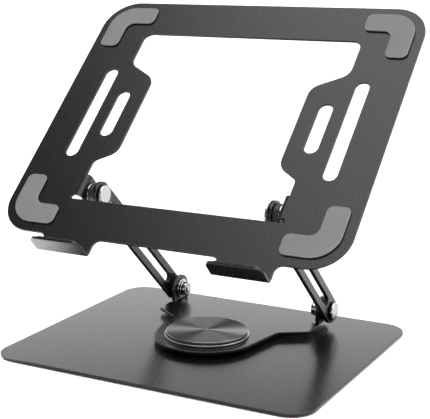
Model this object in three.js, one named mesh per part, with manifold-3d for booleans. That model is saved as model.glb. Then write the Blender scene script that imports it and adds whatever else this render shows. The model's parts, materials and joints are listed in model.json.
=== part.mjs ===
// Folding laptop stand: a slotted tray on two friction-hinged arms, on a turntable base.
// Millimetres, +Z up. The origin is on the table under the swivel axis, and the user sits at -Y.
import * as THREE from 'three'
import { mergeVertices } from 'three/addons/utils/BufferGeometryUtils.js'
import Module from 'manifold-3d'

const wasm = await Module()
wasm.setup()

// ---------------------------------------------------------------- driving dimensions

const GAP = 0.3 // running clearance between neighbouring pieces
const PLAY = 0.1 // closer clearance, in the turntable
const EDGE = 0.4 // chamfer on the cut sheet edges
const BREAK = 0.2 // chamfer on small hardware
const ARC_ERROR = 0.03 // how far a facet may stand off the true arc
const SEGMENTS = 24 // round a small turned piece
const FINE_SEGMENTS = 72 // round the turntable
const ROUND_STEPS = 6 // facets in a quarter round
const OVERSHOOT = 5 // how far a cutting shape runs past what it cuts
const LAP = 2 // how far a fold runs into the flat sheet that it belongs to

// Base plate on its feet
const BASE_WIDTH = 240
const BASE_DEPTH = 195
const BASE_THICKNESS = 2
const BASE_CORNER = 18
const BASE_EDGE = 0.4
const FOOT_HEIGHT = 0.8
const FOOT_RADIUS = 9
const FOOT_EDGE = 0.3
const FOOT_INSET = 20

// Turntable, stacked on the base plate
const STUD_RADIUS = 6
const STUD_FLANGE_RADIUS = 9
const STUD_SEAT_DEPTH = 1 // the flange sits in the underside of the base plate
const THRUST_WASHER_RADIUS = 26
const THRUST_WASHER_HEIGHT = 2.2
const FRICTION_RING_RADIUS = 30.7
const FRICTION_RING_HEIGHT = 1.6
const PIVOT_NUT_RADIUS = 12
const PIVOT_NUT_HEIGHT = 1.2
const CAP_RADIUS = 29.5
const CAP_HEIGHT = 2
const CAP_RIM = 5 // the outer part of the cap, which stands clear of the ring
const CAP_LIFT = 0.6
const CAP_DIMPLE = { radius: 1.6, floor: 0.9, depth: 0.35 }

// Yoke, one bent plate with a round hub in front and two upright ears behind
const YOKE_THICKNESS = 2.5
const HUB_RADIUS = 38.5
const NECK_SPLAY = THREE.MathUtils.degToRad(9.6)
const NECK_END = 27
const WING_FRONT = 39.5
const WING_BACK = 77
const EAR_OUTSIDE = 63
const EAR_THICKNESS = 3
const EAR_RADIUS = 10.5
const EAR_NOTCH = 1.2 // relief cut beside the bend
const EAR_BEND = 1 // inside radius
const NECK_FILLET = 5
const WING_FILLET = 3
const NOTCH_FILLET = 1

// Hinges and arms
const LOWER_AXIS = { y: 68.3, z: 16 }
const ARM_LENGTH = 137.8 // between the two hinge axes
const ARM_WIDTH = 18.5
const ARM_THICKNESS = 3.4
const ARM_INSIDE = 65.8 // inner face of each arm, from the middle plane
const ARM_RISE = THREE.MathUtils.degToRad(43)
const ARM_SLOT_WIDTH = 7
const ARM_SLOT_MARGIN = 12 // from a hinge axis to the end of the slot
const BOLT_RADIUS = 3
const BOLT_HEAD_RADIUS = 7
const BOLT_HEAD_HEIGHT = 2.4
const BOLT_HEAD_ROUND = 1 // radius of the rounded rim
const BOLT_TIP = 0.5
const BOLT_PROUD = 1 // how far a bolt stands out of its nut
const NUT_RADIUS = 5.6
const NUT_HEIGHT = 3
const NUT_EDGE = 0.3
const WASHER_RADIUS = 7.5
const LOCK_WASHER_RADIUS = 6
const WASHER_HEIGHT = 1.1

// Tray, one bent plate. u runs right, v runs up the slope from the front edge, h is above the face.
const TRAY_WIDTH = 262
const TRAY_LENGTH = 220
const TRAY_THICKNESS = 2
const TRAY_CORNER = 26
const TRAY_TILT = THREE.MathUtils.degToRad(43)
const BEND_RADIUS = 1.5 // inside a bend of the tray plate
const TAB_INSIDE = 75
const TAB_RADIUS = 9.2
const TAB_NOTCH = 0.8
const TAB_RELIEF = 3.4 // the wider cut between each tab and the front bar
const HINGE_V = 43.5
const HINGE_DROP = 10.6 // from the tray's face down to the hinge axis
const OPENING_FRONT = 31
const OPENING_BACK = 187.5
const OPENING_BACK_HALF = 88
const WAIST_HALF = 63 // half the opening between the wide middles of the side bars
const WAIST = { from: 74.4, to: 143.5 }
const SLOPES = { from: 65, to: 157 } // where the side bars start to widen, front and back
const OPENING_FILLET = { relief: 1.5, slope: 4.5, waist: 11, shoulder: 10, back: 6.5 }
const LIP_CENTRE = 67.25
const LIP_WIDTH = 40.5
const LIP_REACH = 14 // from the front edge to the outer face of the lip
const LIP_HEIGHT = 15
const LIP_CORNER = 6
const LIP_ROLL = 0.9 // rounding of the top edge
const LIP_ROOT = 5 // fillet where a lip meets the front edge
const SLOT_WIDTH = 10
const LONG_SLOT = { u: 100.5, from: 67, to: 150.5 }
const SHORT_SLOT = { u: 80.5, from: 87.5, to: 129.5 }

// Silicone pads
const PAD_HEIGHT = 1.4
const PAD_LEG = 16
const PAD_INSET = 7
const PAD_WIDTH = 38
const PAD_LENGTH = 40
const PAD_CORNER = 4.5
const PAD_ELBOW = { outside: 19, inside: 7 }
const LIP_PAD_THICKNESS = 1.2
const LIP_PAD_MARGIN = { side: 3.5, foot: 3, top: 1.5 }
const LIP_PAD_CORNER = 4

const BOLT_HOLE = BOLT_RADIUS + GAP
const BASE_TOP = FOOT_HEIGHT + BASE_THICKNESS
const YOKE_UNDERSIDE = BASE_TOP + THRUST_WASHER_HEIGHT
const YOKE_TOP = YOKE_UNDERSIDE + YOKE_THICKNESS
const RING_TOP = YOKE_TOP + FRICTION_RING_HEIGHT
const ARM_OUTSIDE = ARM_INSIDE + ARM_THICKNESS
const TRAY_BEND = BEND_RADIUS + TRAY_THICKNESS
const SIDES = [
  { side: 'left', sign: -1 },
  { side: 'right', sign: 1 },
]

// ---------------------------------------------------------------- finishes

const coat = (color) => new THREE.MeshStandardMaterial({ color, roughness: 0.5, metalness: 0.6 })
const rubber = (color) => new THREE.MeshStandardMaterial({ color, roughness: 0.85, metalness: 0 })
const bright = (color) => new THREE.MeshStandardMaterial({ color, roughness: 0.2, metalness: 1 })

const BASE_GREY = '#4b4a4a'
const TRAY_GREY = '#3b3a3b'
const PAD_GREY = '#8d8d8e'
const DARK_RUBBER = '#232324'
const NYLON_BLACK = '#1a1a1b'
const CHROME = '#c9c9cb'
const SPUN_GREY = '#5d5c5c'

// ---------------------------------------------------------------- outlines

// Points along an arc, close enough together to stay within ARC_ERROR of it.
function arc(centre, radius, start, end, clockwise = false) {
  const curve = new THREE.EllipseCurve(centre.x, centre.y, radius, radius, start, end, clockwise)
  const step = 2 * Math.acos(1 - Math.min(ARC_ERROR / radius, 0.1))
  return curve.getPoints(Math.ceil(curve.getLength() / radius / step))
}

function circle(x, y, radius) {
  return arc({ x, y }, radius, 0, 2 * Math.PI).slice(1)
}

// A closed outline from its corners, each [x, y] or [x, y, radius] where it is rounded.
function outline(corners) {
  const at = (i) => new THREE.Vector2(...corners.at(i % corners.length))
  const points = corners.flatMap(([x, y, radius = 0], i) => {
    const corner = new THREE.Vector2(x, y)
    if (radius === 0) return [corner]
    const back = at(i - 1).sub(corner).normalize()
    const ahead = at(i + 1).sub(corner).normalize()
    const halfAngle = Math.acos(back.dot(ahead)) / 2
    const middle = back.clone().add(ahead).normalize()
    const centre = corner.clone().addScaledVector(middle, radius / Math.sin(halfAngle))
    const reach = radius / Math.tan(halfAngle)
    const start = corner.clone().addScaledVector(back, reach).sub(centre).angle()
    const end = corner.clone().addScaledVector(ahead, reach).sub(centre).angle()
    return arc(centre, radius, start, end, back.cross(ahead) > 0)
  })
  return points.filter((point, i) => point.distanceTo(points.at(i - 1)) > 1e-4)
}

function roundedBox(x0, y0, x1, y1, radius) {
  return outline([[x0, y0, radius], [x1, y0, radius], [x1, y1, radius], [x0, y1, radius]])
}

// The right half of a symmetrical outline, front to back, with its left half added.
function mirrored(corners) {
  const offAxis = corners.filter(([x]) => x !== 0)
  const left = offAxis.map(([x, ...rest]) => [-x, ...rest]).reverse()
  return outline([...corners, ...left])
}

// ---------------------------------------------------------------- solids

// A flat sheet from z = 0 up, with its edges chamfered by `edge`.
function sheet(points, thickness, holes = [], edge = EDGE) {
  const shape = new THREE.Shape(points)
  shape.holes = holes.map((hole) => new THREE.Path(hole))
  const geometry = new THREE.ExtrudeGeometry(shape, {
    depth: thickness - 2 * edge,
    bevelEnabled: edge > 0,
    bevelThickness: edge,
    bevelSize: edge,
    bevelOffset: -edge,
    bevelSegments: 1,
  })
  return geometry.translate(0, 0, edge)
}

// Turns a shape drawn in (y, z) and extruded along its normal so that the normal is +X.
function standAcrossX(geometry) {
  const x = new THREE.Vector3(1, 0, 0)
  const y = new THREE.Vector3(0, 1, 0)
  const z = new THREE.Vector3(0, 0, 1)
  return geometry.applyMatrix4(new THREE.Matrix4().makeBasis(y, z, x))
}

// Turns a shape drawn in (x, z) and extruded along its normal so that the normal is -Y.
function standAcrossY(geometry) {
  return geometry.rotateX(Math.PI / 2)
}

// A turned piece from its [radius, height] profile, with its axis along +Z.
function turned(profile, segments = SEGMENTS) {
  const points = profile.map(([radius, height]) => new THREE.Vector2(radius, height))
  return new THREE.LatheGeometry(points, segments).rotateX(Math.PI / 2)
}

function ring(inner, outer, height, edge = BREAK, segments = SEGMENTS) {
  const profile = [
    [inner, 0],
    [outer - edge, 0],
    [outer, edge],
    [outer, height - edge],
    [outer - edge, height],
    [inner, height],
    [inner, 0],
  ]
  return turned(profile, segments)
}

// A plain cylinder to cut with, from below z = 0 up to `top`.
function cutter(radius, top) {
  return turned([[0, -OVERSHOOT], [radius, -OVERSHOOT], [radius, top], [0, top]])
}

function solid(geometry) {
  const bare = geometry.clone()
  bare.deleteAttribute('normal')
  bare.deleteAttribute('uv')
  const merged = mergeVertices(bare, 1e-4)
  const vertProperties = Float32Array.from(merged.attributes.position.array)
  const triVerts = Uint32Array.from(merged.index.array)
  return new wasm.Manifold(new wasm.Mesh({ numProp: 3, vertProperties, triVerts }))
}

function geometryOf(body) {
  const { vertProperties, triVerts } = body.getMesh()
  const geometry = new THREE.BufferGeometry()
  geometry.setAttribute('position', new THREE.BufferAttribute(vertProperties, 3))
  geometry.setIndex(new THREE.BufferAttribute(triVerts, 1))
  geometry.computeVertexNormals()
  return geometry
}

function piece(name, geometry, material) {
  const mesh = new THREE.Mesh(geometry, material)
  mesh.name = name
  return mesh
}

// ---------------------------------------------------------------- base

function basePlate() {
  const x = BASE_WIDTH / 2
  const y = BASE_DEPTH / 2
  const plate = sheet(roundedBox(-x, -y, x, y, BASE_CORNER), BASE_THICKNESS, [], BASE_EDGE)
  const bore = cutter(STUD_RADIUS + GAP, OVERSHOOT)
  const seat = cutter(STUD_FLANGE_RADIUS + GAP, STUD_SEAT_DEPTH)
  const body = solid(plate).subtract(solid(bore).add(solid(seat)))
  const mesh = piece('base_plate', geometryOf(body), coat(BASE_GREY))
  mesh.position.z = FOOT_HEIGHT
  return mesh
}

function feet() {
  const corners = [
    { place: 'front_left', x: -1, y: -1 },
    { place: 'front_right', x: 1, y: -1 },
    { place: 'back_left', x: -1, y: 1 },
    { place: 'back_right', x: 1, y: 1 },
  ]
  return corners.map(({ place, x, y }) => {
    const disc = turned([
      [0, 0],
      [FOOT_RADIUS - FOOT_EDGE, 0],
      [FOOT_RADIUS, FOOT_EDGE],
      [FOOT_RADIUS, FOOT_HEIGHT],
      [0, FOOT_HEIGHT],
    ])
    const mesh = piece(`foot_${place}`, disc, rubber(DARK_RUBBER))
    mesh.position.set(x * (BASE_WIDTH / 2 - FOOT_INSET), y * (BASE_DEPTH / 2 - FOOT_INSET), 0)
    return mesh
  })
}

// The stud is riveted into the base plate and clamps the turntable with its nut.
function pivotStud() {
  const underside = FOOT_HEIGHT + 2 * PLAY
  const shoulder = FOOT_HEIGHT + STUD_SEAT_DEPTH - PLAY
  const top = RING_TOP + PIVOT_NUT_HEIGHT
  const stud = turned([
    [0, underside],
    [STUD_FLANGE_RADIUS, underside],
    [STUD_FLANGE_RADIUS, shoulder],
    [STUD_RADIUS, shoulder],
    [STUD_RADIUS, top],
    [0, top],
  ])
  return piece('pivot_stud', stud, bright(CHROME))
}

function thrustWasher() {
  const washer = ring(STUD_RADIUS + GAP, THRUST_WASHER_RADIUS, THRUST_WASHER_HEIGHT)
  const mesh = piece('thrust_washer', washer, rubber(NYLON_BLACK))
  mesh.position.z = BASE_TOP
  return mesh
}

function pivotNut() {
  const nut = ring(STUD_RADIUS + GAP, PIVOT_NUT_RADIUS, PIVOT_NUT_HEIGHT)
  const mesh = piece('pivot_nut', nut, bright(CHROME))
  mesh.position.z = RING_TOP + PLAY
  return mesh
}

// A spun disc snapped over the pivot nut, with its rim standing clear of the ring below.
function turntableCap() {
  const recess = { radius: PIVOT_NUT_RADIUS + GAP, height: PIVOT_NUT_HEIGHT + GAP / 2 }
  const dish = 0.1
  const dimpleFloor = CAP_HEIGHT - CAP_DIMPLE.depth
  const cap = turned([
    [0, recess.height],
    [recess.radius, recess.height],
    [recess.radius, 0],
    [CAP_RADIUS - CAP_RIM, 0],
    [CAP_RADIUS - CAP_RIM, CAP_LIFT],
    [CAP_RADIUS - EDGE, CAP_LIFT],
    [CAP_RADIUS, CAP_LIFT + EDGE],
    [CAP_RADIUS, CAP_HEIGHT - EDGE],
    [CAP_RADIUS - EDGE, CAP_HEIGHT],
    [CAP_DIMPLE.radius, CAP_HEIGHT - dish],
    [CAP_DIMPLE.floor, dimpleFloor],
    [0, dimpleFloor],
  ], FINE_SEGMENTS)
  const mesh = piece('turntable_cap', cap, bright(SPUN_GREY))
  mesh.position.z = RING_TOP
  return mesh
}

// ---------------------------------------------------------------- yoke

// An upright ear: the bend where it leaves the yoke, then a flat with a rounded top.
function ear() {
  const inside = EAR_OUTSIDE - EAR_THICKNESS
  const root = inside - EAR_BEND - LAP
  const front = LOWER_AXIS.y - EAR_RADIUS
  const back = LOWER_AXIS.y + EAR_RADIUS
  const top = LOWER_AXIS.z + EAR_RADIUS
  const section = outline([
    [root, YOKE_UNDERSIDE],
    [EAR_OUTSIDE, YOKE_UNDERSIDE, EAR_THICKNESS + EAR_BEND],
    [EAR_OUTSIDE, top],
    [inside, top],
    [inside, YOKE_TOP, EAR_BEND],
    [root, YOKE_TOP],
  ])
  const folded = standAcrossY(sheet(section, back - front)).translate(0, back, 0)
  const face = outline([[front, 0], [back, 0], [back, top, EAR_RADIUS], [front, top, EAR_RADIUS]])
  const bore = circle(LOWER_AXIS.y, LOWER_AXIS.z, BOLT_HOLE)
  const silhouette = standAcrossX(sheet(face, 2 * EAR_OUTSIDE, [bore], 0))
  return solid(folded).intersect(solid(silhouette))
}

function yokePlate() {
  const root = LOWER_AXIS.y - EAR_RADIUS
  const bend = EAR_OUTSIDE - EAR_THICKNESS - EAR_BEND
  const apex = HUB_RADIUS / Math.sin(NECK_SPLAY)
  const plan = mirrored([
    [0, -apex, HUB_RADIUS],
    [(NECK_END + apex) * Math.tan(NECK_SPLAY), NECK_END, NECK_FILLET],
    [EAR_OUTSIDE, WING_FRONT, WING_FILLET],
    [EAR_OUTSIDE, root - EAR_NOTCH, NOTCH_FILLET],
    [bend - EAR_NOTCH, root - EAR_NOTCH],
    [bend - EAR_NOTCH, root],
    [bend, root],
    [bend, WING_BACK],
  ])
  const plate = sheet(plan, YOKE_THICKNESS, [circle(0, 0, STUD_RADIUS + GAP)])
  const body = solid(plate.translate(0, 0, YOKE_UNDERSIDE)).add(ear()).add(ear().mirror([1, 0, 0]))
  return piece('yoke_plate', geometryOf(body), coat(BASE_GREY))
}

function frictionRing() {
  const step = ring(STUD_RADIUS + GAP, FRICTION_RING_RADIUS, FRICTION_RING_HEIGHT, EDGE, FINE_SEGMENTS)
  const mesh = piece('friction_ring', step, coat(BASE_GREY))
  mesh.position.z = YOKE_TOP
  return mesh
}

// ---------------------------------------------------------------- hinge hardware

// Bolts, washers and nuts are drawn along +Z. This lays one along X, on the side given by `sign`,
// starting `from` the middle plane and pointing outward, or inward if `inward` is true.
function acrossHinge(mesh, sign, from, inward = false) {
  mesh.rotation.y = (inward ? -sign : sign) * (Math.PI / 2)
  mesh.position.x = sign * from
  return mesh
}

// A flat head with a rounded rim below z = 0, and a plain shank above it.
function bolt(name, length) {
  const x = BOLT_HEAD_RADIUS - BOLT_HEAD_ROUND
  const y = BOLT_HEAD_ROUND - BOLT_HEAD_HEIGHT
  const rim = new THREE.EllipseCurve(x, y, BOLT_HEAD_ROUND, BOLT_HEAD_ROUND, -Math.PI / 2, 0)
  const profile = [
    [0, -BOLT_HEAD_HEIGHT],
    ...rim.getPoints(ROUND_STEPS).map((point) => [point.x, point.y]),
    [BOLT_HEAD_RADIUS, 0],
    [BOLT_RADIUS, 0],
    [BOLT_RADIUS, length - BOLT_TIP],
    [BOLT_RADIUS - BOLT_TIP, length],
    [0, length],
  ]
  return piece(name, turned(profile), bright(CHROME))
}

function washer(name, radius, height, material) {
  return piece(name, ring(BOLT_HOLE, radius, height), material)
}

function nut(name) {
  const hexagon = outline([0, 1, 2, 3, 4, 5].map((i) => {
    const angle = (i * Math.PI) / 3
    return [NUT_RADIUS * Math.cos(angle), NUT_RADIUS * Math.sin(angle)]
  }))
  return piece(name, sheet(hexagon, NUT_HEIGHT, [circle(0, 0, BOLT_HOLE)], NUT_EDGE), bright(CHROME))
}

// From the head outside the arm, in through the arm, spacer and ear, to the washers and nut.
function lowerHinge({ side, sign }) {
  const head = ARM_OUTSIDE + GAP
  const inside = EAR_OUTSIDE - EAR_THICKNESS - GAP
  const lockWasher = inside - WASHER_HEIGHT - GAP
  const nutFace = lockWasher - WASHER_HEIGHT - GAP
  const boltLength = head - nutFace + NUT_HEIGHT + BOLT_PROUD
  const spacerHeight = ARM_INSIDE - EAR_OUTSIDE - 2 * GAP
  const spacer = washer(`lower_spacer_${side}`, WASHER_RADIUS, spacerHeight, rubber(NYLON_BLACK))
  const flat = washer(`lower_washer_${side}`, WASHER_RADIUS, WASHER_HEIGHT, bright(CHROME))
  const lock = washer(`lower_lock_washer_${side}`, LOCK_WASHER_RADIUS, WASHER_HEIGHT, bright(CHROME))
  return [
    acrossHinge(bolt(`lower_bolt_${side}`, boltLength), sign, head, true),
    acrossHinge(spacer, sign, EAR_OUTSIDE + GAP),
    acrossHinge(flat, sign, inside, true),
    acrossHinge(lock, sign, lockWasher, true),
    acrossHinge(nut(`lower_nut_${side}`), sign, nutFace, true),
  ]
}

// From the head inside the arm, out through the arm, spacer, washer and tray tab, to the nut.
function upperHinge({ side, sign }) {
  const head = ARM_INSIDE - GAP
  const spacerFace = ARM_OUTSIDE + GAP
  const washerFace = TAB_INSIDE - GAP - WASHER_HEIGHT
  const spacerHeight = washerFace - GAP - spacerFace
  const nutFace = TAB_INSIDE + TRAY_THICKNESS + GAP
  const boltLength = nutFace + NUT_HEIGHT + BOLT_PROUD - head
  const spacer = washer(`upper_spacer_${side}`, WASHER_RADIUS, spacerHeight, rubber(NYLON_BLACK))
  const flat = washer(`upper_washer_${side}`, WASHER_RADIUS, WASHER_HEIGHT, bright(CHROME))
  return [
    acrossHinge(bolt(`upper_bolt_${side}`, boltLength), sign, head),
    acrossHinge(spacer, sign, spacerFace),
    acrossHinge(flat, sign, washerFace),
    acrossHinge(nut(`upper_nut_${side}`), sign, nutFace),
  ]
}

// ---------------------------------------------------------------- arms

// Drawn from the lower axis at the origin to the upper axis at +Y, before the group leans it.
function arm({ side, sign }) {
  const end = ARM_WIDTH / 2
  const slotEnd = ARM_SLOT_WIDTH / 2
  const blank = roundedBox(-end, -end, ARM_LENGTH + end, end, end)
  const slot = roundedBox(ARM_SLOT_MARGIN, -slotEnd, ARM_LENGTH - ARM_SLOT_MARGIN, slotEnd, slotEnd)
  const holes = [slot, circle(0, 0, BOLT_HOLE), circle(ARM_LENGTH, 0, BOLT_HOLE)]
  const mesh = piece(`arm_${side}`, standAcrossX(sheet(blank, ARM_THICKNESS, holes)), coat(TRAY_GREY))
  mesh.position.x = sign > 0 ? ARM_INSIDE : -ARM_OUTSIDE
  return mesh
}

// ---------------------------------------------------------------- tray

// The hinge tab on the right: it folds down from the edge of the opening to carry the bolt.
function hingeTab() {
  const foot = HINGE_V - TAB_RADIUS
  const head = HINGE_V + TAB_RADIUS
  const tip = -HINGE_DROP - TAB_RADIUS
  const root = TAB_INSIDE + TRAY_BEND + LAP
  const section = outline([
    [root, -TRAY_THICKNESS],
    [TAB_INSIDE + TRAY_THICKNESS, -TRAY_THICKNESS, BEND_RADIUS],
    [TAB_INSIDE + TRAY_THICKNESS, tip],
    [TAB_INSIDE, tip],
    [TAB_INSIDE, 0, TRAY_BEND],
    [root, 0],
  ])
  const folded = standAcrossY(sheet(section, head - foot)).translate(0, head, 0)
  const face = outline([
    [foot, OVERSHOOT],
    [foot, tip, TAB_RADIUS],
    [head, tip, TAB_RADIUS],
    [head, OVERSHOOT],
  ])
  const bore = circle(HINGE_V, -HINGE_DROP, BOLT_HOLE)
  const silhouette = standAcrossX(sheet(face, 2 * TAB_INSIDE, [bore], 0))
  return solid(folded).intersect(solid(silhouette))
}

// The lip on the right: it folds up in front of the tray to stop the laptop sliding off.
function lip() {
  const root = -LIP_REACH + TRAY_BEND + LAP
  const section = outline([
    [root, -TRAY_THICKNESS],
    [-LIP_REACH, -TRAY_THICKNESS, TRAY_BEND],
    [-LIP_REACH, LIP_HEIGHT, LIP_ROLL],
    [-LIP_REACH + TRAY_THICKNESS, LIP_HEIGHT, LIP_ROLL],
    [-LIP_REACH + TRAY_THICKNESS, 0, BEND_RADIUS],
    [root, 0],
  ])
  const inner = LIP_CENTRE - LIP_WIDTH / 2
  const outer = LIP_CENTRE + LIP_WIDTH / 2
  const folded = standAcrossX(sheet(section, LIP_WIDTH)).translate(inner, 0, 0)
  const face = outline([
    [inner, -OVERSHOOT],
    [outer, -OVERSHOOT],
    [outer, LIP_HEIGHT, LIP_CORNER],
    [inner, LIP_HEIGHT, LIP_CORNER],
  ])
  const silhouette = standAcrossY(sheet(face, 2 * LIP_REACH, [], 0)).translate(0, LIP_REACH / 2, 0)
  return solid(folded).intersect(solid(silhouette))
}

// The flat of the tray, front to back, with the two tongues that the lips fold up from.
function trayOutline() {
  const side = TRAY_WIDTH / 2
  const tongue = -LIP_REACH + TRAY_BEND + LAP / 2
  return mirrored([
    [LIP_CENTRE - LIP_WIDTH / 2, 0, LIP_ROOT],
    [LIP_CENTRE - LIP_WIDTH / 2, tongue],
    [LIP_CENTRE + LIP_WIDTH / 2, tongue],
    [LIP_CENTRE + LIP_WIDTH / 2, 0, LIP_ROOT],
    [side, 0, TRAY_CORNER],
    [side, TRAY_LENGTH, TRAY_CORNER],
  ])
}

// The opening, front to back, with a relief notch either side of each hinge tab.
function trayOpening() {
  const bend = TAB_INSIDE + TRAY_BEND
  const foot = HINGE_V - TAB_RADIUS
  const head = HINGE_V + TAB_RADIUS
  return mirrored([
    [bend + TAB_RELIEF, OPENING_FRONT, OPENING_FILLET.relief],
    [bend + TAB_RELIEF, foot, OPENING_FILLET.relief],
    [bend, foot],
    [bend, head],
    [bend + TAB_NOTCH, head],
    [bend + TAB_NOTCH, head + TAB_NOTCH],
    [bend, head + TAB_NOTCH],
    [bend, SLOPES.from, OPENING_FILLET.slope],
    [WAIST_HALF, WAIST.from, OPENING_FILLET.waist],
    [WAIST_HALF, WAIST.to, OPENING_FILLET.waist],
    [OPENING_BACK_HALF, SLOPES.to, OPENING_FILLET.shoulder],
    [OPENING_BACK_HALF, OPENING_BACK, OPENING_FILLET.back],
  ])
}

function trayPlate() {
  const half = SLOT_WIDTH / 2
  const slots = SIDES.flatMap(({ sign }) => [LONG_SLOT, SHORT_SLOT].map(({ u, from, to }) => (
    roundedBox(sign * u - half, from, sign * u + half, to, half)
  )))
  const flat = sheet(trayOutline(), TRAY_THICKNESS, [trayOpening(), ...slots])
  const folds = hingeTab().add(lip())
  const body = solid(flat.translate(0, 0, -TRAY_THICKNESS)).add(folds).add(folds.mirror([1, 0, 0]))
  return piece('tray_plate', geometryOf(body), coat(TRAY_GREY))
}

// An L of silicone in each corner of the tray's face.
function cornerPads() {
  const reach = TRAY_WIDTH / 2 - PAD_INSET
  const middle = TRAY_LENGTH / 2
  return [{ end: 'front', way: -1 }, { end: 'back', way: 1 }].flatMap(({ end, way }) => (
    SIDES.map(({ side, sign }) => {
      const far = middle - PAD_INSET
      const corners = [
        [reach - PAD_WIDTH, far, PAD_CORNER],
        [reach, far, PAD_ELBOW.outside],
        [reach, far - PAD_LENGTH, PAD_CORNER],
        [reach - PAD_LEG, far - PAD_LENGTH, PAD_CORNER],
        [reach - PAD_LEG, far - PAD_LEG, PAD_ELBOW.inside],
        [reach - PAD_WIDTH, far - PAD_LEG, PAD_CORNER],
      ]
      const shape = outline(corners.map(([u, v, radius]) => [sign * u, middle + way * v, radius]))
      const mesh = piece(`pad_${end}_${side}`, sheet(shape, PAD_HEIGHT), rubber(PAD_GREY))
      mesh.position.z = GAP
      return mesh
    })
  ))
}

function lipPad({ side, sign }) {
  const reach = LIP_WIDTH / 2 - LIP_PAD_MARGIN.side
  const top = LIP_HEIGHT - LIP_PAD_MARGIN.top
  const shape = roundedBox(-reach, LIP_PAD_MARGIN.foot, reach, top, LIP_PAD_CORNER)
  const pad = standAcrossY(sheet(shape, LIP_PAD_THICKNESS))
  const mesh = piece(`lip_pad_${side}`, pad, rubber(DARK_RUBBER))
  mesh.position.set(sign * LIP_CENTRE, -LIP_REACH + TRAY_THICKNESS + GAP + LIP_PAD_THICKNESS, 0)
  return mesh
}

// ---------------------------------------------------------------- assembly

function group(y, z, tilt, ...meshes) {
  const parent = new THREE.Group()
  parent.position.set(0, y, z)
  parent.rotation.x = tilt
  parent.add(...meshes)
  return parent
}

const upperAxis = {
  y: LOWER_AXIS.y - ARM_LENGTH * Math.cos(ARM_RISE),
  z: LOWER_AXIS.z + ARM_LENGTH * Math.sin(ARM_RISE),
}

const stand = new THREE.Group()
stand.add(basePlate(), ...feet(), pivotStud(), thrustWasher(), pivotNut(), turntableCap())
stand.add(yokePlate(), frictionRing())
stand.add(group(LOWER_AXIS.y, LOWER_AXIS.z, 0, ...SIDES.flatMap(lowerHinge)))
stand.add(group(LOWER_AXIS.y, LOWER_AXIS.z, Math.PI - ARM_RISE, ...SIDES.map(arm)))

const trayFace = group(-HINGE_V, HINGE_DROP, 0, trayPlate(), ...cornerPads(), ...SIDES.map(lipPad))
stand.add(group(upperAxis.y, upperAxis.z, TRAY_TILT, trayFace, ...SIDES.flatMap(upperHinge)))

export default stand
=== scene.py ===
"""Looks for a folding laptop stand: coated sheet metal, bright hinge hardware and silicone pads."""
import json
import math

import bpy
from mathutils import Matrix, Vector

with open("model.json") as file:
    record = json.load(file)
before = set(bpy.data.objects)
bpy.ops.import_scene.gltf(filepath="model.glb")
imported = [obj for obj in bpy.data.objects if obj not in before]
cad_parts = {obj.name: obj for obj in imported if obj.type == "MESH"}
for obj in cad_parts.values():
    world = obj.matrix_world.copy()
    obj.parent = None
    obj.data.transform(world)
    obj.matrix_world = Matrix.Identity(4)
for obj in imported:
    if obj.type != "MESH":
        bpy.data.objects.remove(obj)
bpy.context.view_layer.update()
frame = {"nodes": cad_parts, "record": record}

# Camera: angles in degrees, lengths in metres, lens and sensor in millimetres
CAMERA_AZIMUTH = 28.01
CAMERA_ELEVATION = 12.58
CAMERA_TARGET = (0.00706, -0.00083, 0.10058)
CAMERA_DISTANCE = 0.79745
CAMERA_LENS = 95.14
CAMERA_SENSOR = 36
CAMERA_CLIP = (0.02, 60)

# Studio: a level is a brightness, an aim is a direction seen from the stand, and a span gives the two
# cosines between which one level fades into the next
WALL_LEVEL = 2.5
CEILING_LEVEL = 0.08
WALL_TOP_SPAN = (0.29, 0.41)
FRONT_AIM = (0.2, -1, 0)
FRONT_SPAN = (0.0, 0.7)
FRONT_SHARE = 0.25  # how much of the room's brightness is left in front
LIGHT_AIM = (0.22, 0.05, 0.97)
LIGHT_SPAN = (0.70, 0.76)
LIGHT_LEVEL = 3.5

# Small light over the floor beside the left lip, which mirrors that floor: metres, watts and degrees
LOW_LIGHT_PLACE = (-0.24, -0.085, 0.14)
LOW_LIGHT_TARGET = (-0.20, -0.085, 0)
LOW_LIGHT_SIZE = 0.08
LOW_LIGHT_POWER = 0.3
LOW_LIGHT_SPREAD = 70

FLOOR_HALF = 40
FLOOR_GREYS = (0.90, 0.92)

# Surface detail: noise scales are cells per metre, bump depths and edge radii are metres
COLOUR_SPAN = (0.35, 0.65)  # the part of a noise's range that colour uses
ROUGHNESS_SPAN = (0.3, 0.7)  # and the part that roughness uses
COAT_SPECKLE = 1500
COAT_CLOUD = 14
COAT_DEPTH = 0.0002
SILICONE_SPECKLE = 1800
SILICONE_CLOUD = 30
SILICONE_DEPTH = 0.00005
PLATING_CLOUD = 260
SPUN_RINGS = 700
SPUN_WOBBLE = 0.6
SPUN_DEPTH = 0.00004
FLOOR_CLOUD = 40
EDGE_SAMPLES = 6
EDGE_SPAN = (0.90, 0.99)  # cosines of the lean at which an edge is fully lightened and untouched: a painted highlight rim, on coats also wear
COAT_EDGE = 0.0005
FINE_EDGE = 0.0006

# Smoothing of the CAD triangles
JOIN_DISTANCE = 0.000004
FLAT_ANGLE = 0.3  # degrees

# Sockets of a Mix node that is set to colour, where the names repeat
MIX_FACTOR = 0
MIX_FIRST = 6
MIX_SECOND = 7
MIX_RESULT = 2


# ---------------------------------------------------------------- camera


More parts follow.
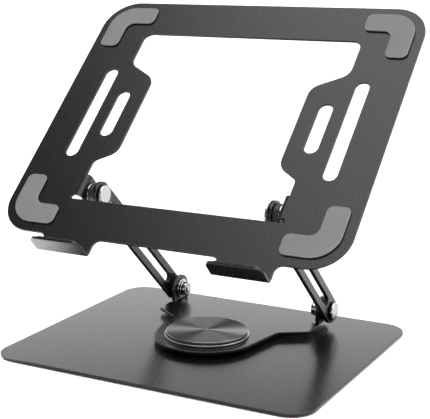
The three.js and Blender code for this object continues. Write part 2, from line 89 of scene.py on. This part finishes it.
def add_camera():
    """A camera that looks at its target from the given azimuth and elevation."""
    azimuth = math.radians(CAMERA_AZIMUTH)
    elevation = math.radians(CAMERA_ELEVATION)
    level = math.cos(elevation)
    back = Vector((math.sin(azimuth) * level, -math.cos(azimuth) * level, math.sin(elevation)))
    data = bpy.data.cameras.new("camera")
    data.lens = CAMERA_LENS
    data.sensor_width = CAMERA_SENSOR
    data.clip_start, data.clip_end = CAMERA_CLIP
    camera = bpy.data.objects.new("camera", data)
    camera.location = Vector(CAMERA_TARGET) + back * CAMERA_DISTANCE
    camera.rotation_mode = "QUATERNION"
    camera.rotation_quaternion = (-back).to_track_quat("-Z", "Y")
    bpy.context.scene.collection.objects.link(camera)
    bpy.context.scene.camera = camera


# ---------------------------------------------------------------- node helpers


def fade(tree, factor, span, low, high, interpolation="SMOOTHSTEP"):
    """Number that runs from low to high as factor runs through span."""
    ramp = tree.nodes.new("ShaderNodeMapRange")
    ramp.interpolation_type = interpolation
    ramp.inputs["From Min"].default_value = span[0]
    ramp.inputs["From Max"].default_value = span[1]
    ramp.inputs["To Min"].default_value = low
    ramp.inputs["To Max"].default_value = high
    tree.links.new(factor, ramp.inputs["Value"])
    return ramp.outputs["Result"]


def toward(tree, direction, aim):
    """Cosine of the angle between a direction and a fixed one."""
    dot = tree.nodes.new("ShaderNodeVectorMath")
    dot.operation = "DOT_PRODUCT"
    dot.inputs[1].default_value = Vector(aim).normalized()
    tree.links.new(direction, dot.inputs[0])
    return dot.outputs["Value"]


def combine(tree, operation, first, second):
    """Sum or product of two numbers."""
    node = tree.nodes.new("ShaderNodeMath")
    node.operation = operation
    tree.links.new(first, node.inputs[0])
    tree.links.new(second, node.inputs[1])
    return node.outputs["Value"]


def noise(material, scale, detail=2.0):
    """Solid noise in the object's own space, so that it does not depend on UVs."""
    tree = material.node_tree
    coordinates = tree.nodes.new("ShaderNodeTexCoord")
    texture = tree.nodes.new("ShaderNodeTexNoise")
    texture.inputs["Scale"].default_value = scale
    texture.inputs["Detail"].default_value = detail
    tree.links.new(coordinates.outputs["Object"], texture.inputs["Vector"])
    return texture.outputs["Fac"]


# ---------------------------------------------------------------- studio


def add_world():
    """A studio: a soft light overhead, pale walls behind and to the sides, a dark room in front."""
    world = bpy.data.worlds.new("studio")
    world.use_nodes = True
    tree = world.node_tree
    direction = tree.nodes.new("ShaderNodeTexCoord").outputs["Generated"]
    height = toward(tree, direction, (0, 0, 1))
    walls = fade(tree, height, WALL_TOP_SPAN, WALL_LEVEL, CEILING_LEVEL)
    front = fade(tree, toward(tree, direction, FRONT_AIM), FRONT_SPAN, 1, FRONT_SHARE)
    soft_light = fade(tree, toward(tree, direction, LIGHT_AIM), LIGHT_SPAN, 0, LIGHT_LEVEL)
    room = combine(tree, "MULTIPLY", walls, front)
    total = combine(tree, "ADD", room, soft_light)
    background = tree.nodes["Background"]
    background.inputs["Color"].default_value = (1, 1, 1, 1)
    tree.links.new(total, background.inputs["Strength"])
    bpy.context.scene.world = world


def add_low_light():
    data = bpy.data.lights.new("floor_left", "AREA")
    data.shape = "RECTANGLE"
    data.size = LOW_LIGHT_SIZE
    data.size_y = LOW_LIGHT_SIZE
    data.energy = LOW_LIGHT_POWER
    data.spread = math.radians(LOW_LIGHT_SPREAD)
    light = bpy.data.objects.new("floor_left", data)
    light.location = LOW_LIGHT_PLACE
    light.visible_camera = False
    light.rotation_mode = "QUATERNION"
    ahead = Vector(LOW_LIGHT_TARGET) - Vector(LOW_LIGHT_PLACE)
    light.rotation_quaternion = ahead.to_track_quat("-Z", "Y")
    bpy.context.scene.collection.objects.link(light)


def floor_paint():
    material, shader = new_material("floor_paint", Roughness=0.9, Specular_IOR_Level=0.1)
    vary_colour(material, shader, noise(material, FLOOR_CLOUD), *FLOOR_GREYS)
    return material


def add_floor():
    mesh = bpy.data.meshes.new("floor")
    half = FLOOR_HALF
    corners = [(-half, -half, 0), (half, -half, 0), (half, half, 0), (-half, half, 0)]
    mesh.from_pydata(corners, [], [(0, 1, 2, 3)])
    mesh.materials.append(floor_paint())
    floor = bpy.data.objects.new("floor", mesh)
    bpy.context.scene.collection.objects.link(floor)


# ---------------------------------------------------------------- surface detail


def new_material(name, **values):
    """A node material whose constants sit on the shader's own sockets."""
    material = bpy.data.materials.new(name)
    material.use_nodes = True
    shader = material.node_tree.nodes["Principled BSDF"]
    for socket, value in values.items():
        shader.inputs[socket.replace("_", " ")].default_value = value
    return material, shader


def vary_colour(material, shader, factor, low, high, span=COLOUR_SPAN):
    """Grey that runs from low to high as factor runs through span."""
    tree = material.node_tree
    ramp = tree.nodes.new("ShaderNodeValToRGB")
    for element, position, grey in zip(ramp.color_ramp.elements, span, (low, high)):
        element.position = position
        element.color = (grey, grey, grey, 1)
    tree.links.new(factor, ramp.inputs["Fac"])
    tree.links.new(ramp.outputs["Color"], shader.inputs["Base Color"])


def vary_roughness(material, shader, factor, low, high):
    tree = material.node_tree
    roughness = fade(tree, factor, ROUGHNESS_SPAN, low, high, "LINEAR")
    tree.links.new(roughness, shader.inputs["Roughness"])


def bump(material, shader, height, strength, depth):
    tree = material.node_tree
    node = tree.nodes.new("ShaderNodeBump")
    node.inputs["Strength"].default_value = strength
    node.inputs["Distance"].default_value = depth
    tree.links.new(height, node.inputs["Height"])
    tree.links.new(node.outputs["Normal"], shader.inputs["Normal"])


def edge_mask(material, radius):
    """1 on edges, 0 on open faces: how far the rounded normal leans from the face's own."""
    tree = material.node_tree
    rounded = tree.nodes.new("ShaderNodeBevel")
    rounded.samples = EDGE_SAMPLES
    rounded.inputs["Radius"].default_value = radius
    face = tree.nodes.new("ShaderNodeNewGeometry")
    dot = tree.nodes.new("ShaderNodeVectorMath")
    dot.operation = "DOT_PRODUCT"
    tree.links.new(rounded.outputs["Normal"], dot.inputs[0])
    tree.links.new(face.outputs["True Normal"], dot.inputs[1])
    return fade(tree, dot.outputs["Value"], EDGE_SPAN, 1, 0)


def edge_wear_and_highlight(material, shader, radius, grey):
    """Takes the colour towards a grey along edges: a painted highlight rim, and on coats also edge
    wear.
    """
    tree = material.node_tree
    colour = shader.inputs["Base Color"].links[0].from_socket
    mix = tree.nodes.new("ShaderNodeMix")
    mix.data_type = "RGBA"
    mix.inputs[MIX_SECOND].default_value = (grey, grey, grey, 1)
    tree.links.new(edge_mask(material, radius), mix.inputs[MIX_FACTOR])
    tree.links.new(colour, mix.inputs[MIX_FIRST])
    tree.links.new(mix.outputs[MIX_RESULT], shader.inputs["Base Color"])


# ---------------------------------------------------------------- materials


def coated_metal(name, grey, roughness, relief):
    """Satin coat with fine speckle, which stands out as far as relief says."""
    material, shader = new_material(name, Metallic=0.0, IOR=1.5, Specular_IOR_Level=0.35)
    speckle = noise(material, COAT_SPECKLE, detail=3)
    cloud = noise(material, COAT_CLOUD, detail=3)
    vary_colour(material, shader, cloud, grey * 0.85, grey * 1.15)
    vary_roughness(material, shader, speckle, roughness - 0.05, roughness + 0.06)
    bump(material, shader, speckle, relief, COAT_DEPTH)
    # Lighter edges: partly wear to bare metal, partly a painted highlight rim
    edge_wear_and_highlight(material, shader, COAT_EDGE, 0.05)
    return material


def silicone(name, grey, roughness):
    """Matt rubber, a little lighter along its edges as a painted highlight rim."""
    material, shader = new_material(name, Metallic=0.0)
    speckle = noise(material, SILICONE_SPECKLE, detail=3)
    cloud = noise(material, SILICONE_CLOUD)
    vary_colour(material, shader, cloud, grey * 0.95, grey * 1.05)
    vary_roughness(material, shader, speckle, roughness - 0.05, roughness + 0.05)
    bump(material, shader, speckle, 0.2, SILICONE_DEPTH)
    # Lighter edges: a painted highlight rim
    edge_wear_and_highlight(material, shader, FINE_EDGE, grey * 1.6)
    return material


def plated(name, grey, roughness):
    """Bright plating with a faint clouding."""
    material, shader = new_material(name, Metallic=1.0)
    cloud = noise(material, PLATING_CLOUD)
    vary_colour(material, shader, cloud, grey * 0.94, grey)
    vary_roughness(material, shader, cloud, roughness * 0.7, roughness * 1.3)
    return material


def turning_marks(material):
    """Fine rings about the swivel axis."""
    tree = material.node_tree
    coordinates = tree.nodes.new("ShaderNodeTexCoord")
    rings = tree.nodes.new("ShaderNodeTexWave")
    rings.wave_type = "RINGS"
    rings.rings_direction = "Z"
    rings.inputs["Scale"].default_value = SPUN_RINGS
    rings.inputs["Distortion"].default_value = SPUN_WOBBLE
    tree.links.new(coordinates.outputs["Object"], rings.inputs["Vector"])
    return rings.outputs["Fac"]


def spun_metal(name, grey, roughness):
    """Metal turned on a lathe, whose gloss fans out from the swivel axis."""
    material, shader = new_material(name, Metallic=1.0, Anisotropic=1.0, Anisotropic_Rotation=0.27)
    tree = material.node_tree
    tangent = tree.nodes.new("ShaderNodeTangent")
    tangent.direction_type = "RADIAL"
    tangent.axis = "Z"
    tree.links.new(tangent.outputs["Tangent"], shader.inputs["Tangent"])
    rings = turning_marks(material)
    vary_colour(material, shader, rings, grey * 0.85, grey, span=(0.2, 0.8))
    vary_roughness(material, shader, rings, roughness - 0.03, roughness + 0.03)
    bump(material, shader, rings, 0.15, SPUN_DEPTH)
    # Lighter edges: a painted highlight rim
    edge_wear_and_highlight(material, shader, FINE_EDGE, 0.4)
    return material


# ---------------------------------------------------------------- smoothing


def smooth_group():
    """Joins the CAD triangles into one surface and shades it smoothly."""
    group = bpy.data.node_groups.new("joined_surface", "GeometryNodeTree")
    group.interface.new_socket("Geometry", in_out="INPUT", socket_type="NodeSocketGeometry")
    group.interface.new_socket("Geometry", in_out="OUTPUT", socket_type="NodeSocketGeometry")
    start = group.nodes.new("NodeGroupInput")
    join = group.nodes.new("GeometryNodeMergeByDistance")
    join.inputs["Distance"].default_value = JOIN_DISTANCE
    smooth = group.nodes.new("GeometryNodeSetShadeSmooth")
    end = group.nodes.new("NodeGroupOutput")
    group.links.new(start.outputs[0], join.inputs["Geometry"])
    group.links.new(join.outputs["Geometry"], smooth.inputs["Geometry"])
    group.links.new(smooth.outputs["Geometry"], end.inputs[0])
    return group


def soften(piece, group):
    """Makes the chamfered edges of a CAD node read as rolled edges."""
    joined = piece.modifiers.new("joined", "NODES")
    joined.node_group = group
    flat = piece.modifiers.new("flat", "DECIMATE")
    flat.decimate_type = "DISSOLVE"
    flat.angle_limit = math.radians(FLAT_ANGLE)
    weighted = piece.modifiers.new("weighted", "WEIGHTED_NORMAL")
    weighted.weight = 100
    weighted.keep_sharp = False


# ---------------------------------------------------------------- scene

# Grey is the surface's own, from 0 to 1. Values: grey, roughness and, on a coat, relief.
COAT_GREY = 0.0015
FINISHES = {
    "base_coat": coated_metal("base_coat", COAT_GREY, 0.24, 0.08),
    "yoke_coat": coated_metal("yoke_coat", COAT_GREY, 0.24, 0.08),
    "ring_coat": plated("ring_coat", 0.32, 0.35),
    "spun_disc": spun_metal("spun_disc", 0.10, 0.45),
    "foot_rubber": silicone("foot_rubber", 0.012, 0.7),
    "arm_coat": coated_metal("arm_coat", COAT_GREY, 0.28, 0.4),
    "tray_coat": coated_metal("tray_coat", COAT_GREY, 0.25, 0.6),
    "lip_rubber": silicone("lip_rubber", 0.01, 0.6),
    "pad_silicone": silicone("pad_silicone", 0.15, 0.85),
    "nylon": silicone("nylon", 0.010, 0.5),
    "bolt_chrome": plated("bolt_chrome", 0.42, 0.25),
    "nut_steel": plated("nut_steel", 0.40, 0.15),
    "washer_steel": plated("washer_steel", 0.45, 0.15),
}

add_camera()
add_world()
add_low_light()
add_floor()

smooth = smooth_group()
for part in frame["record"]["subparts"]:
    node = frame["nodes"][part["node"]]
    node.data.materials.clear()
    node.data.materials.append(FINISHES[part["material_slot"]])
    soften(node, smooth)

bpy.context.scene.view_settings.view_transform = "Standard"
